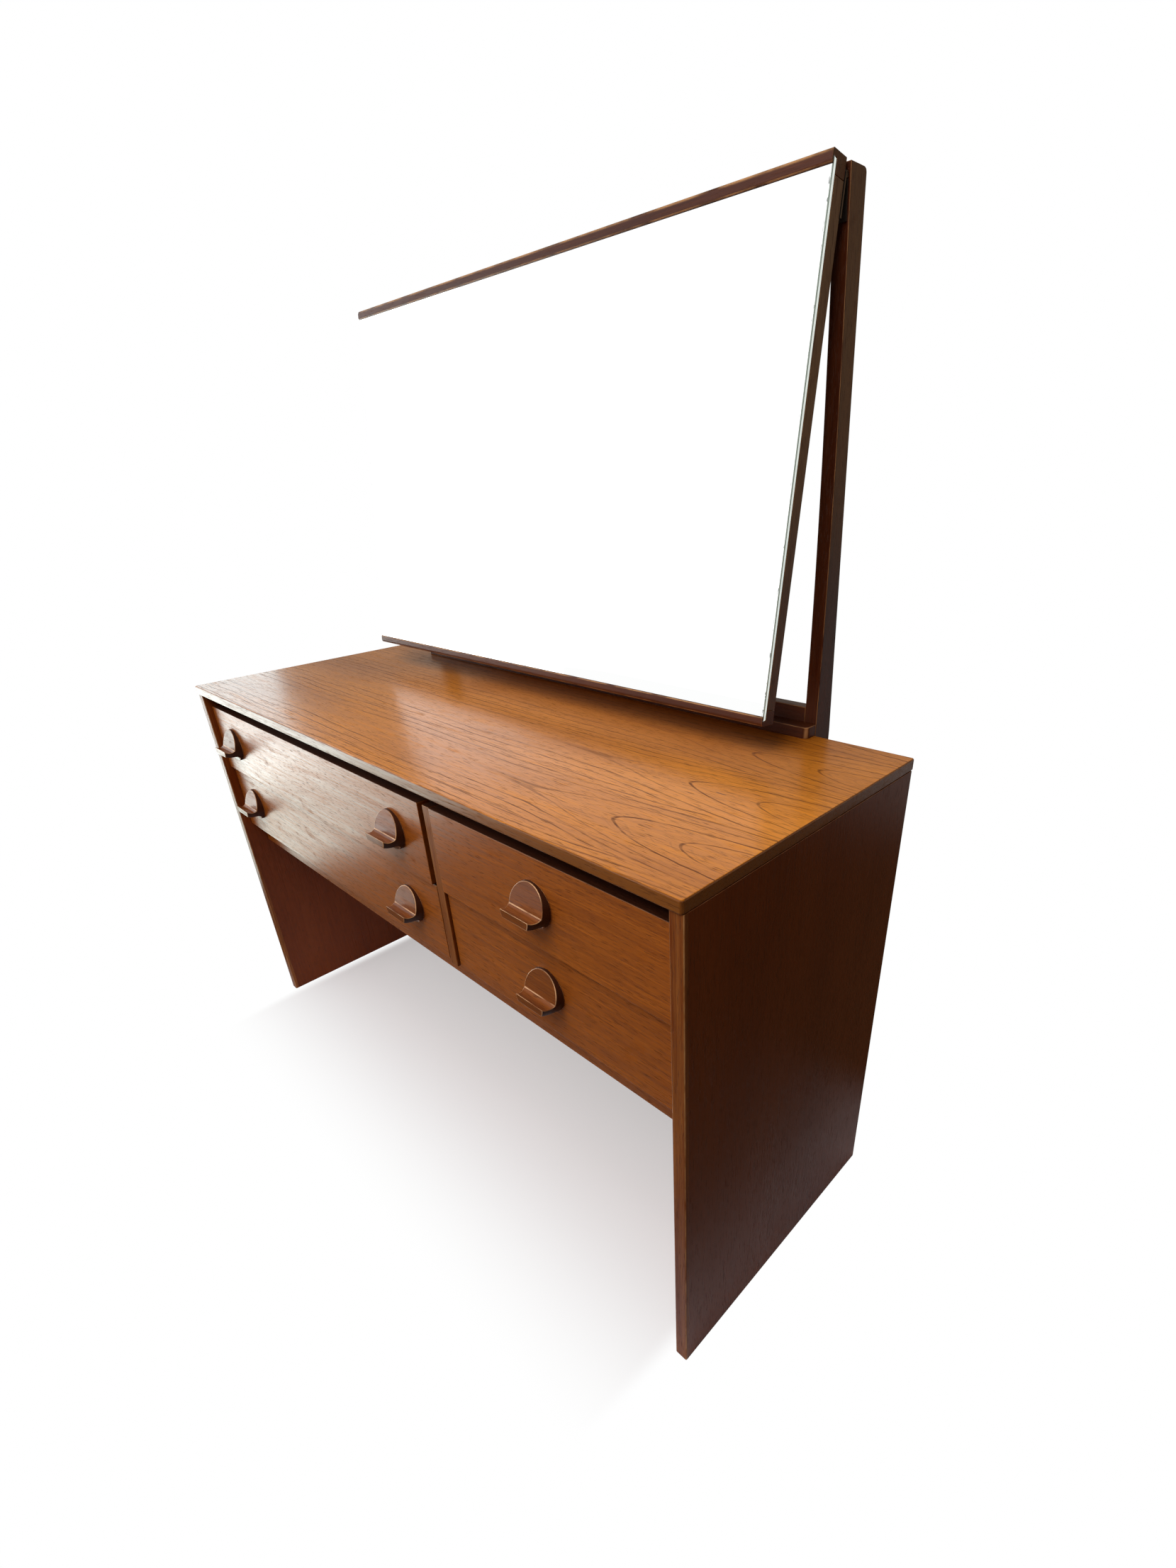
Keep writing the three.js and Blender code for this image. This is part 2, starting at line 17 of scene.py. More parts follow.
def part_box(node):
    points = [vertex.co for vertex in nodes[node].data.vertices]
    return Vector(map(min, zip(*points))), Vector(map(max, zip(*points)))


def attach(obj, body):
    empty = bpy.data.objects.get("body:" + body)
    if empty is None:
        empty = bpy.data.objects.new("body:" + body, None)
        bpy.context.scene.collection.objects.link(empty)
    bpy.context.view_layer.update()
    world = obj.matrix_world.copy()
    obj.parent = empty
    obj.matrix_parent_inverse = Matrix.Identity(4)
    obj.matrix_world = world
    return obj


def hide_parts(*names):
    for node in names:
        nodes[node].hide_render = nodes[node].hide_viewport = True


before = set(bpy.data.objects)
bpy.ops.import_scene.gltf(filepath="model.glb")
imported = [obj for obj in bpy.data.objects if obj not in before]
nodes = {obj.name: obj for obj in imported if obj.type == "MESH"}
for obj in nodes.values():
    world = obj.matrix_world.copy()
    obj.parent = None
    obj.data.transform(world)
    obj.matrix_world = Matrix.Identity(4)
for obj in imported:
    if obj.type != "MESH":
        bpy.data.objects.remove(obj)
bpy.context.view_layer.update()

MM = 0.001


def put(name, data):
    """A new object in the scene."""
    thing = bpy.data.objects.new(name, data)
    bpy.context.scene.collection.objects.link(thing)
    return thing


# %% [markdown]
# ## The camera
#
# A wide lens close to the desk, at the eye height of a sitter who leans to the right,
# gives a steep perspective. Blender measures the lens against the long side of the
# picture. A small shift moves the view without a turn of the camera, because a turn
# would change the perspective.

# %% Set up the camera
lens_data = bpy.data.cameras.new("camera")
lens_data.lens = 16.587
lens_data.sensor_width = 36
lens_data.shift_x = -0.0300
lens_data.shift_y = 0.0490
camera = put("camera", lens_data)
camera.location = (0.9566, -0.6396, 1.0433)
camera.rotation_euler = [math.radians(turn) for turn in (61.808, 2.089, 43.656)]
bpy.context.scene.camera = camera
print("camera height:", round(camera.location.z, 2), "m")

# %% [markdown]
# ## Writing shaders as sums
#
# A material in Blender is a graph of nodes. Long graphs are hard to read, but most nodes
# only add or multiply. So a small class holds one output of a node, and the usual signs
# work on it: each sign adds one Math node. Everything else, such as a noise or a mix of
# colours, comes from one method that takes the kind of node, its settings and its inputs.

# %% A class for one output, and one for the graph
class Wire:
    """One output of a node. Arithmetic on it adds Math nodes."""

    def __init__(self, graph, socket):
        self.graph = graph
        self.socket = socket

    def math(self, operation, first, second=0.0):
        settings = {"operation": operation}
        return self.graph.add("ShaderNodeMath", settings, {0: first, 1: second})

    def __add__(self, other):
        return self.math("ADD", self, other)

    __radd__ = __add__

    def __mul__(self, other):
        return self.math("MULTIPLY", self, other)

    __rmul__ = __mul__

    def __sub__(self, other):
        return self.math("SUBTRACT", self, other)

    def __rsub__(self, other):
        return self.math("SUBTRACT", other, self)

    def __truediv__(self, other):
        return self.math("DIVIDE", self, other)

    def __pow__(self, other):
        return self.math("POWER", self, other)

    def __abs__(self):
        return self.math("ABSOLUTE", self)

    def root(self):
        return self.math("SQRT", self)

    def fraction(self):
        return self.math("FRACT", self)

    def at_least(self, other):
        return self.math("MAXIMUM", self, other)

    def rise(self, low, high):
        """0 below low, 1 above high, and a smooth rise between them."""
        settings = {"interpolation_type": "SMOOTHSTEP"}
        return self.graph.add("ShaderNodeMapRange", settings, {0: self, 1: low, 2: high})


class Graph:
    """The node tree of one material or world."""

    def __init__(self, owner):
        owner.use_nodes = True
        self.tree = owner.node_tree
        self.tree.nodes.clear()

    def add(self, kind, settings, inputs, output=0):
        node = self.tree.nodes.new(kind)
        for name, value in settings.items():
            setattr(node, name, value)
        for key, value in inputs.items():
            if isinstance(value, Wire):
                self.tree.links.new(value.socket, node.inputs[key])
            else:
                node.inputs[key].default_value = value
        return Wire(self, node.outputs[output]) if node.outputs else node

    def mix(self, share, first, second):
        """A colour that goes from first to second as share goes from 0 to 1."""
        settings = {"data_type": "RGBA", "clamp_factor": True}
        inputs = {0: share}
        for key, colour in ((6, first), (7, second)):
            inputs[key] = colour if isinstance(colour, Wire) else (*colour, 1)
        return self.add("ShaderNodeMix", settings, inputs, 2)

    def noise(self, place, detail=2.0, roughness=0.5):
        at = self.add("ShaderNodeCombineXYZ", {}, dict(enumerate(place)))
        inputs = {"Vector": at, "Scale": 1.0, "Detail": detail, "Roughness": roughness}
        return self.add("ShaderNodeTexNoise", {}, inputs)


def place_along(graph, order):
    """Object coordinates in the order along the grain, across the face, into the wood."""
    place = graph.add("ShaderNodeTexCoord", {}, {}, "Object")
    return [graph.add("ShaderNodeSeparateXYZ", {}, {0: place}, axis) for axis in order]


def finish_with(graph, colour, roughness, height, depth, **fixed):
    """A Principled shader. Fixed values go on its own sockets."""
    bump = graph.add("ShaderNodeBump", {}, {"Strength": 1.0, "Distance": depth, "Height": height})
    inputs = {"Base Color": colour, "Roughness": roughness, "Normal": bump}
    inputs.update({name.replace("_", " "): value for name, value in fixed.items()})
    shader = graph.add("ShaderNodeBsdfPrincipled", {}, inputs)
    graph.add("ShaderNodeOutputMaterial", {}, {"Surface": shader})


print("shader sums ready")

# %% [markdown]
# ## Teak
#
# Teak is a golden to reddish brown wood with long, fine, dark pores. A board shows it at
# four scales: broad drifts of colour, streaks up to a centimetre wide, fine fibres, and
# the pores themselves, short dashes along the grain. Each scale is one noise, stretched
# along the grain. The pattern lives in the whole volume, so that the end of a solid strip
# shows the cut ends of the same streaks that run along its side. Hands and dusters wear
# the finish off the arrises, the rounded edges between two faces. On a board, the surface
# leans away from every axis there, so one measure of that lean finds them all. A carved
# piece leans everywhere, so its mesh marks its rounded edges in an attribute. Polish is
# thin where pores, streaks and fingers break it, and a matt value there thins the coat.

# %% The teak recipe
PORE_BROWN = (0.070, 0.021, 0.007)
WORN_TAN = (0.60, 0.30, 0.12)
SWAY = 20 * MM
PORE_DEPTH = 0.12 * MM
# Changes of each pattern in a metre: along the grain, and across it.
SWAYS = (1.3, 5)
DRIFTS = (1.9, 8)
STREAKS = (3.1, 105)
FIBRES = (14, 520)
PORES = (60, 1150)
FINGERS = (20, 42)
RUBBING = (30, 30)
SMEARS = (5, 7)


def leaning(graph):
    """0 on the flat faces of a board, 1 on its rounded edges."""
    facing = graph.add("ShaderNodeTexCoord", {}, {}, "Normal")
    sides = [abs(graph.add("ShaderNodeSeparateXYZ", {}, {0: facing}, axis)) for axis in "XYZ"]
    straightest = sides[0].at_least(sides[1]).at_least(sides[2])
    return (1 - straightest).rise(0.02, 0.20)


def carved(graph):
    """1 on the rounded edges of a carved piece, which its mesh has marked."""
    return graph.add("ShaderNodeAttribute", {"attribute_name": "arris"}, {}, "Fac")


def teak(name, order, deep, pale, gloss, figured=False, drift=0.9, streaks=0.8, fibres=0.5,
         pores=0.55, worn=0.6, bare=WORN_TAN, edges=leaning, coat=0.0, **fixed):
    """A teak finish. order is the axes along the grain, across it and into the wood."""
    material = bpy.data.materials.new(name)
    graph = Graph(material)
    along, across, into = place_along(graph, order)

    def pattern(changes, detail=2.0, roughness=0.5):
        place = (along * changes[0], across * changes[1], into * changes[1])
        return graph.noise(place, detail, roughness)

    across = across + (pattern(SWAYS) - 0.5) * SWAY
    patch = pattern(DRIFTS) - 0.5
    streak = pattern(STREAKS, 3.0, 0.6) - 0.5
    fibre = pattern(FIBRES) - 0.5
    pore = pattern(PORES, 1.0).rise(0.58, 0.70)
    tone = patch * drift * 2 + streak * streaks * 2 + fibre * fibres * 2 + 0.5
    colour = graph.mix(tone, deep, pale)
    touched = pattern(FINGERS).rise(0.60, 0.72)
    matt = pore * 0.5 + streak * 1.0 + fibre * 1.6 + touched * 0.35
    if figured:
        colour, matt = figure(graph, colour, matt, along, across, into)
    colour = graph.mix(pore * pores, colour, PORE_BROWN)
    rubbed = pattern(RUBBING, 3.0).rise(0.25, 0.65)
    wear = edges(graph) * rubbed * worn
    colour = graph.mix(wear, colour, bare)
    smear = pattern(SMEARS, 3.0) - 0.5
    roughness = smear * 0.12 + fibre * 0.12 + pore * 0.18 + gloss
    height = fibre * 0.6 - pore
    if coat:
        fixed["Coat_Weight"] = (1 - matt) * coat
    finish_with(graph, colour, roughness, height, PORE_DEPTH, **fixed)
    return material


print("teak recipe ready")

# %% [markdown]
# ### The figure on the top
#
# The top is covered with leaves of veneer laid side by side, cut one after another from
# the same log, so the same figure comes back in each leaf. Growth rings are nested cones
# round the heart of the tree. Where a leaf is cut close to the heart, the rings close
# into pointed arches, and where it is cut further out they run as near parallel lines.
# One distance from a sloping heart line gives both, and a slow noise makes them wander.
# Each year has one strong ring, and three faint lines between it and the next.
#
# Use has marked the top with one short check and one dot. The top is also browner towards
# its left end, and in front of the mirror it has a painted shadow under a thinner coat.

# %% Growth rings in leaves of veneer
LEAF_WIDTH = 128 * MM
FIRST_LEAF = -147 * MM
HEART_DEPTH = 64.5 * MM
HEART_RISE = 0.085
RISE_STARTS = 340 * MM
RISE_BLEND = 0.0012
LEAST_CROWDED = 0.25
LEAF_CHANGE = 0.15
RING_STEP = 8.23 * MM
RING_WANDER = 24 * MM
RING_KINK = 3.2 * MM
UNEVEN_YEARS = 70
WANDERS = (2.6, 1.4)
KINKS = (26, 9)
BREAKS = (12, 160)
GAPS = (4, 60)
RING_CORE = 0.35 * MM
RING_FADE = 1.4 * MM
FAINT_CORE = 0.2 * MM
FAINT_FADE = 1.0 * MM
FAINT_SHARE = 0.18


def place_in_leaf(graph, along, across):
    """The distance off the middle of a leaf, made to wander, and a number for the leaf."""
    place = (across - FIRST_LEAF) / LEAF_WIDTH + 0.5
    leaf = place.fraction() - 0.5
    number = (place - leaf) * LEAF_CHANGE
    wander = graph.noise((along * WANDERS[0], leaf * WANDERS[1], number)) - 0.5
    kink = graph.noise((along * KINKS[0], leaf * KINKS[1], number), 3.0, 0.6) - 0.5
    return leaf * LEAF_WIDTH + wander * RING_WANDER + kink * RING_KINK, number


def rings_from_heart(graph, along, off_centre):
    """The count of rings from the heart, and how squarely the face cuts them."""
    past = along - RISE_STARTS
    climb = ((past ** 2 + RISE_BLEND).root() + past) * 0.5
    heart = climb * -HEART_RISE + HEART_DEPTH
    distance = (off_centre ** 2 + heart ** 2).root()
    crowding = (off_centre ** 2 + (heart * HEART_RISE) ** 2).root() / distance
    rings = distance / RING_STEP + graph.noise((distance * UNEVEN_YEARS, 0.0, 0.0)) * 0.5
    return rings, crowding.at_least(LEAST_CROWDED)


def veneer_leaves(graph, along, across, into):
    """The dark line of each growth ring, in leaves that repeat across the top."""
    off_centre, number = place_in_leaf(graph, along, across)
    rings, crowding = rings_from_heart(graph, along, off_centre)
    year = rings + 0.5 - (rings + 0.5).fraction()
    strength = graph.noise((year * 0.83, number * 0.2, 0.0)).rise(0.36, 0.60) * 0.45 + 0.50
    to_strong = abs((rings + 0.5).fraction() - 0.5) * RING_STEP / crowding
    to_weak = abs((rings * 3).fraction() - 0.5) * (RING_STEP / 3) / crowding
    broken = graph.noise((along * BREAKS[0], across * BREAKS[1], into), 3.0).rise(0.30, 0.60)
    patchy = graph.noise((along * GAPS[0], across * GAPS[1], into), 2.0).rise(0.44, 0.64)
    line = (1 - to_strong.rise(RING_CORE, RING_FADE)) * (broken * 0.7 + 0.3) * strength
    faint = (1 - to_weak.rise(FAINT_CORE, FAINT_FADE)) * patchy * FAINT_SHARE
    return line.at_least(faint)


top_low, top_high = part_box("top_panel")
print("leaves of veneer across the top:", round((top_high.y - top_low.y) / LEAF_WIDTH, 1))

# %% Marks on the top, and a painted shadow
DEEP_BROWN = (0.16, 0.045, 0.008)
MIRROR_SHADOW_BROWN = (0.32, 0.065, 0.002)
WINDOW_END = (-0.50, 0.05)
WINDOW_SHARE = 0.28
LEDGE_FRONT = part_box("mirror_ledge")[0].y
LEDGE_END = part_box("mirror_ledge")[1].x
# A painted shadow on the wood in front of the mirror: darker, under a thinner coat.
MIRROR_SHADOW_REACH = (0.19, 0.05)
MIRROR_SHADOW_MIDDLE = 0.12
MIRROR_SHADOW_FADE = 0.25
MIRROR_SHADOW_SHARE = 0.60
CHECK_PLACE = (0.491, -0.028)
CHECK_SAG = 12
CHECK_HALF_LENGTH = (5 * MM, 9 * MM)
CHECK_HALF_WIDTH = (0.3 * MM, 1.1 * MM)
DOT_PLACE = (-0.176, 0.022)
DOT_RADIUS = (0.8 * MM, 2.0 * MM)


def small_marks(graph, along, across):
    """A short curved check in the veneer and one dark dot."""
    from_check = along - CHECK_PLACE[0]
    sag = from_check ** 2 * CHECK_SAG + CHECK_PLACE[1]
    ends = abs(from_check).rise(*CHECK_HALF_LENGTH)
    check = (1 - abs(across - sag).rise(*CHECK_HALF_WIDTH)) * (1 - ends)
    from_dot = ((along - DOT_PLACE[0]) ** 2 + (across - DOT_PLACE[1]) ** 2).root()
    return check.at_least(1 - from_dot.rise(*DOT_RADIUS))


def painted_mirror_shadow(along, across):
    """A painted shadow on the wood in front of the mirror."""
    under = across.rise(LEDGE_FRONT - MIRROR_SHADOW_REACH[0], LEDGE_FRONT - MIRROR_SHADOW_REACH[1])
    ends = abs(along - MIRROR_SHADOW_MIDDLE).rise(LEDGE_END - MIRROR_SHADOW_FADE, LEDGE_END)
    return under * (1 - ends) * MIRROR_SHADOW_SHARE


def figure(graph, colour, matt, along, across, into):
    """Plain teak's colour and matt value, with marks, a browner left end and a painted shadow."""
    leaves = veneer_leaves(graph, along, across, into)
    colour = graph.mix(leaves, colour, DEEP_BROWN)
    colour = graph.mix(small_marks(graph, along, across), colour, PORE_BROWN)
    # Browner towards the left end of the top.
    window_end = (1 - along.rise(*WINDOW_END)) * WINDOW_SHARE
    colour = graph.mix(window_end, colour, DEEP_BROWN)
    mirror_shadow = painted_mirror_shadow(along, across)
    colour = graph.mix(mirror_shadow, colour, MIRROR_SHADOW_BROWN)
    return colour, matt.at_least(leaves * 0.9).at_least(mirror_shadow * 1.6)


print("the mirror's ledge starts", round(LEDGE_FRONT - top_low.y, 3), "m behind the front edge")

# %% [markdown]
# ### The woods of this table
#
# Every part is the same species, but each was cut, stained and worn differently. The
# top has faded to gold, the fronts are redder and finer, and the posts and the mirror
# frame are dark. Drawer boxes and runners are plain beech, and the backs are thin ply.
# A finish needs one version for each way that its grain runs. There are three kinds of
# shine: a satin one, the polish of the fronts and of the top's edge, and the varnish of
# the top and the handles.

# %% Mix the finishes
TOP_DEEP = (0.45, 0.130, 0.008)
TOP_PALE = (0.81, 0.275, 0.024)
FRONT_DEEP = (0.29, 0.070, 0.009)
FRONT_PALE = (0.50, 0.140, 0.018)
SIDE_DEEP = (0.15, 0.025, 0.003)
SIDE_PALE = (0.22, 0.044, 0.006)
STRIP_PALE = (0.38, 0.130, 0.030)
DARK_DEEP = (0.050, 0.010, 0.003)
DARK_PALE = (0.100, 0.024, 0.007)
TOP_RIM_DEEP = (0.18, 0.055, 0.008)
TOP_RIM_PALE = (0.28, 0.090, 0.015)
STILE_DEEP = (0.10, 0.045, 0.022)
STILE_PALE = (0.17, 0.085, 0.045)
HANDLE_DEEP = (0.15, 0.038, 0.008)
HANDLE_PALE = (0.30, 0.085, 0.016)
# The pale edges of the handles: partly wear, and partly a painted highlight.
HANDLE_WEAR_AND_HIGHLIGHT_TAN = (0.80, 0.46, 0.24)
# Painted shade: near-black teak for faces that sit in shade, in the gaps and under the top.
PAINTED_SHADE_DEEP = (0.035, 0.010, 0.004)
PAINTED_SHADE_PALE = (0.070, 0.020, 0.008)
# Painted shade: dark red teak for the sides of the fronts and the divider, which face into the
# gaps.
CHEEK_SHADE_DEEP = (0.13, 0.026, 0.002)
CHEEK_SHADE_PALE = (0.22, 0.044, 0.003)
BEECH_DEEP = (0.46, 0.27, 0.13)
BEECH_PALE = (0.62, 0.41, 0.22)
PLY_DEEP = (0.36, 0.21, 0.10)
PLY_PALE = (0.50, 0.32, 0.165)
ALONG_X = "XZY"
ALONG_Y = "YZX"
ALONG_Z = "ZYX"
FLAT_ALONG_X = "XYZ"
STRIP_ALONG_Z = "ZXY"

satin = {"Specular_IOR_Level": 0.26}
polish = {"Specular_IOR_Level": 0.05, "Coat_Roughness": 0.30, "Coat_IOR": 1.45}
varnish = {"Specular_IOR_Level": 0.05, "Coat_Roughness": 0.23, "Coat_IOR": 1.42}
teak_top = teak("teak_top", FLAT_ALONG_X, TOP_DEEP, TOP_PALE, 0.40, figured=True,
                streaks=0.4, fibres=0.35, worn=0.9, bare=DEEP_BROWN, coat=0.6, **varnish)
teak_edge = teak("teak_edge", ALONG_X, TOP_RIM_DEEP, TOP_RIM_PALE, 0.40, worn=0.9,
                 bare=DEEP_BROWN, coat=1.0, **polish)
teak_front = teak("teak_front", ALONG_X, FRONT_DEEP, FRONT_PALE, 0.40, drift=0.45,
                  streaks=0.4, fibres=1.1, pores=0.65, coat=1.0, **polish)
teak_side = teak("teak_side", ALONG_Z, SIDE_DEEP, SIDE_PALE, 0.30, streaks=0.25, **satin)
teak_strip = teak("teak_strip", STRIP_ALONG_Z, SIDE_DEEP, STRIP_PALE, 0.34, worn=0.85, **satin)
teak_post = teak("teak_post", ALONG_Z, DARK_DEEP, DARK_PALE, 0.36, **satin)
teak_stile = teak("teak_stile", ALONG_Z, STILE_DEEP, STILE_PALE, 0.36, **satin)
teak_rail = teak("teak_rail", ALONG_X, DARK_DEEP, DARK_PALE, 0.40, worn=0.8, **satin)
# The next two are woods of painted shade, for faces in the gaps.
teak_painted_shade = teak("teak_painted_shade", ALONG_X, PAINTED_SHADE_DEEP, PAINTED_SHADE_PALE, 0.45, worn=0.2, **satin)
teak_cheek_shade = teak("teak_cheek_shade", ALONG_X, CHEEK_SHADE_DEEP, CHEEK_SHADE_PALE, 0.45, worn=0.2, **satin)
teak_handle = teak("teak_handle", ALONG_X, HANDLE_DEEP, HANDLE_PALE, 0.30, worn=1.0,
                   streaks=0.9, bare=HANDLE_WEAR_AND_HIGHLIGHT_TAN, edges=carved, coat=0.6, **varnish)
# Painted shade: the turned side of each handle's nose is near-black teak.
teak_turned_painted_shade = teak("teak_turned_painted_shade", ALONG_X, PAINTED_SHADE_DEEP, DARK_DEEP, 0.40, worn=1.0,
                   edges=carved, **satin)
beech_across = teak("beech_across", ALONG_X, BEECH_DEEP, BEECH_PALE, 0.55, worn=0.0)
beech_along = teak("beech_along", ALONG_Y, BEECH_DEEP, BEECH_PALE, 0.55, worn=0.0)
ply_across = teak("ply_across", ALONG_X, PLY_DEEP, PLY_PALE, 0.60, worn=0.0)
ply_flat = teak("ply_flat", FLAT_ALONG_X, PLY_DEEP, PLY_PALE, 0.60, worn=0.0)
print("woods mixed:", len(bpy.data.materials))

# %% [markdown]
# ### Glass and steel
#
# A mirror is a sheet of float glass, silvered on its back. At this size it can be one
# metal face with no roughness. What tells the eye that it is glass is its edge: two
# narrow ground bevels with a polished band between them, greyish green, and tiny dark
# flecks near it where the silvering has gone. The polished band also has a painted glow
# for the light that the glass carries. The hinges are steel, gone dark with age.

# %% Glass, paint and steel
GLASS_HALF_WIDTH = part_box("mirror_glass")[1].x
FLECK_REACH = 4 * MM
SILVER = (0.985, 0.99, 0.987)
LOST_SILVER = (0.06, 0.07, 0.06)
GROUND_PALE = (0.46, 0.52, 0.45)
GROUND_DEEP = (0.22, 0.27, 0.22)
POLISHED_PALE = (0.74, 0.80, 0.76)
POLISHED_DEEP = (0.60, 0.68, 0.63)
PAINTED_EDGE_GLOW = (0.80, 0.88, 0.84, 1)
PAINT_PALE = (0.19, 0.17, 0.16)
PAINT_DEEP = (0.13, 0.115, 0.11)
STEEL_PALE = (0.12, 0.105, 0.09)
STEEL_DEEP = (0.07, 0.06, 0.053)


def silvered_glass():
    """A mirror face with flecks of lost silver along its two upright edges."""
    material = bpy.data.materials.new("mirror_silver")
    graph = Graph(material)
    across, depth, up = place_along(graph, "XYZ")
    from_edge = (GLASS_HALF_WIDTH - abs(across)) / FLECK_REACH
    fleck = graph.noise((across * 400, depth * 120, up * 120), 2.0).rise(0.60, 0.66)
    lost = fleck * (1 - from_edge.rise(0.2, 1.0))
    haze = graph.noise((across * 3, depth * 3, up * 3), 3.0).rise(0.4, 0.9)
    colour = graph.mix(lost, SILVER, LOST_SILVER)
    finish_with(graph, colour, lost * 0.4 + haze * 0.004, haze, 0.0, Metallic=1.0)
    return material


def rough_stuff(name, colour, other, roughness, scale, depth, **fixed):
    """A finish with no grain: two close colours, mixed by a fine noise."""
    material = bpy.data.materials.new(name)
    graph = Graph(material)
    grain = graph.noise([place * scale for place in place_along(graph, "XYZ")], 3.0)
    gloss = grain * 0.12 + roughness
    finish_with(graph, graph.mix(grain, colour, other), gloss, grain, depth, **fixed)
    return material


mirror_silver = silvered_glass()
ground_edge = rough_stuff("ground_edge", GROUND_PALE, GROUND_DEEP, 0.28, 500, 0.02 * MM)
# The polished band has a painted glow, for the light that the glass carries to its edge.
polished_edge = rough_stuff("polished_edge", POLISHED_PALE, POLISHED_DEEP, 0.08, 200, 0.0,
                            Emission_Color=PAINTED_EDGE_GLOW, Emission_Strength=0.7)
silver_paint = rough_stuff("silver_paint", PAINT_PALE, PAINT_DEEP, 0.55, 250, 0.05 * MM)
hinge_steel = rough_stuff("hinge_steel", STEEL_PALE, STEEL_DEEP, 0.45, 600, 0.02 * MM,
                          Metallic=1.0)
print("finishes in all:", len(bpy.data.materials))

# %% [markdown]
# ## Boards with eased edges
#
# No edge on real furniture is perfectly sharp. A joiner takes the arris off with fine
# paper, and that thin rounded line is what catches the light. The drawing has sharp
# edges, so each board that shows is made again: either as a cube that is stretched to
# the drawn part's box, or as a copy of the drawn part with its doubled points merged.
# The edges are then bevelled. A Weighted Normal modifier keeps the flat faces flat in
# the light, and leaves the rounding to the bevels.

# %% Helpers for boards
SHARP = math.radians(30)
FLAT = math.radians(0.05)
SMOOTH = math.radians(50)
TOUCHING = 0.01 * MM
SQUARE_ON = 0.9


def board(low, high):
    """A cube stretched to a box."""
    mesh = bmesh.new()
    mesh.faces.layers.float.new("arris")
    bmesh.ops.create_cube(mesh, size=1.0)
    bmesh.ops.scale(mesh, verts=mesh.verts, vec=high - low)
    bmesh.ops.translate(mesh, verts=mesh.verts, vec=(high + low) / 2)
    return mesh


def join_flat_faces(mesh):
    bmesh.ops.dissolve_limit(mesh, angle_limit=FLAT, verts=mesh.verts, edges=mesh.edges)


def merged_copy(node):
    """A copy of a drawn part, with its loose triangles joined into whole faces."""
    mesh = bmesh.new()
    mesh.from_mesh(nodes[node].data)
    mesh.faces.layers.float.new("arris")
    bmesh.ops.remove_doubles(mesh, verts=mesh.verts, dist=TOUCHING)
    join_flat_faces(mesh)
    return mesh


def runs_along(edge, axis):
    span = edge.verts[1].co - edge.verts[0].co
    return abs(span[axis]) > 0.99 * span.length


def sharp_edges(mesh):
    return [edge for edge in mesh.edges if edge.calc_face_angle(0) > SHARP]


def ease(mesh, edges, radius, segments=3, clamped=True):
    """Round off edges, and mark the new faces."""
    rounded = bmesh.ops.bevel(
        mesh, geom=edges, offset=radius, offset_type="OFFSET", affect="EDGES",
        segments=segments, profile=0.5, material=-1, clamp_overlap=clamped, loop_slide=clamped,
    )
    marks = mesh.faces.layers.float["arris"]
    for face in rounded["faces"]:
        face[marks] = 1.0


def stored(name, mesh):
    """Store a bmesh under a name, and free it."""
    data = bpy.data.meshes.new(name)
    mesh.to_mesh(data)
    mesh.free()
    return data


def make_piece(name, mesh, body, materials, replaces=()):
    """Turn a bmesh into a finished piece that rides on a body."""
    data = stored(name, mesh)
    for material in materials:
        data.materials.append(material)
    data.shade_smooth()
    data.set_sharp_from_angle(angle=SMOOTH)
    piece = put(name, data)
    even = piece.modifiers.new("even_light", "WEIGHTED_NORMAL")
    even.keep_sharp = True
    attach(piece, body)
    if replaces:
        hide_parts(*replaces)


print("board helpers ready")

# %% [markdown]
# ## The top
#
# The top is a veneered board with a solid edge, so it has two finishes: the figured
# leaves above and below, and plain straight grain round its rim. Its four upright
# corners are rounded first, and then one thin bevel goes round all the other edges.

# %% Make the top
TOP_CORNER = 4 * MM
TOP_ARRIS = 2.0 * MM

mesh = board(*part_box("top_panel"))
for face in mesh.faces:
    face.material_index = 0 if abs(face.normal.z) > SQUARE_ON else 1
ease(mesh, [edge for edge in mesh.edges if runs_along(edge, 2)], TOP_CORNER, 5)
ease(mesh, sharp_edges(mesh), TOP_ARRIS)
make_piece("veneered_top", mesh, "desk", [teak_top, teak_edge], ["top_panel"])
print("top made, arris", TOP_ARRIS / MM, "mm")

# %% [markdown]
# ## Drawer fronts
#
# The four fronts are thick boards. The upper pair stands just proud of the divider, and
# the lower pair just behind it. Their corners are barely rounded and their arrises are
# soft from years of use. They all share one finish: its pattern follows the place in the
# table, so no two fronts repeat. Their edges carry painted shade for the gaps: the top
# ones are painted nearly black, and the side ones dark red.

# %% Make the drawer fronts
FRONT_CORNER = 2.5 * MM
FRONT_ARRIS = 1.0 * MM
drawers = [f"{level}_{side}_drawer" for level in ("upper", "lower") for side in ("left", "right")]


def gap_shade(face):
    """Which painted shade a face gets: 1, near-black, if it looks up, 2, dark red, if it looks
    sideways, and 0, none, for any other.
    """
    if face.normal.z > SQUARE_ON:
        return 1
    return 2 if abs(face.normal.x) > SQUARE_ON else 0


for drawer in drawers:
    mesh = board(*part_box(f"{drawer}_front"))
    for face in mesh.faces:
        face.material_index = gap_shade(face)
    ease(mesh, [edge for edge in mesh.edges if runs_along(edge, 1)], FRONT_CORNER, 4)
    ease(mesh, sharp_edges(mesh), FRONT_ARRIS)
    make_piece(f"{drawer}_face", mesh, drawer, [teak_front, teak_painted_shade, teak_cheek_shade],
               [f"{drawer}_front"])
print("fronts made:", len(drawers))

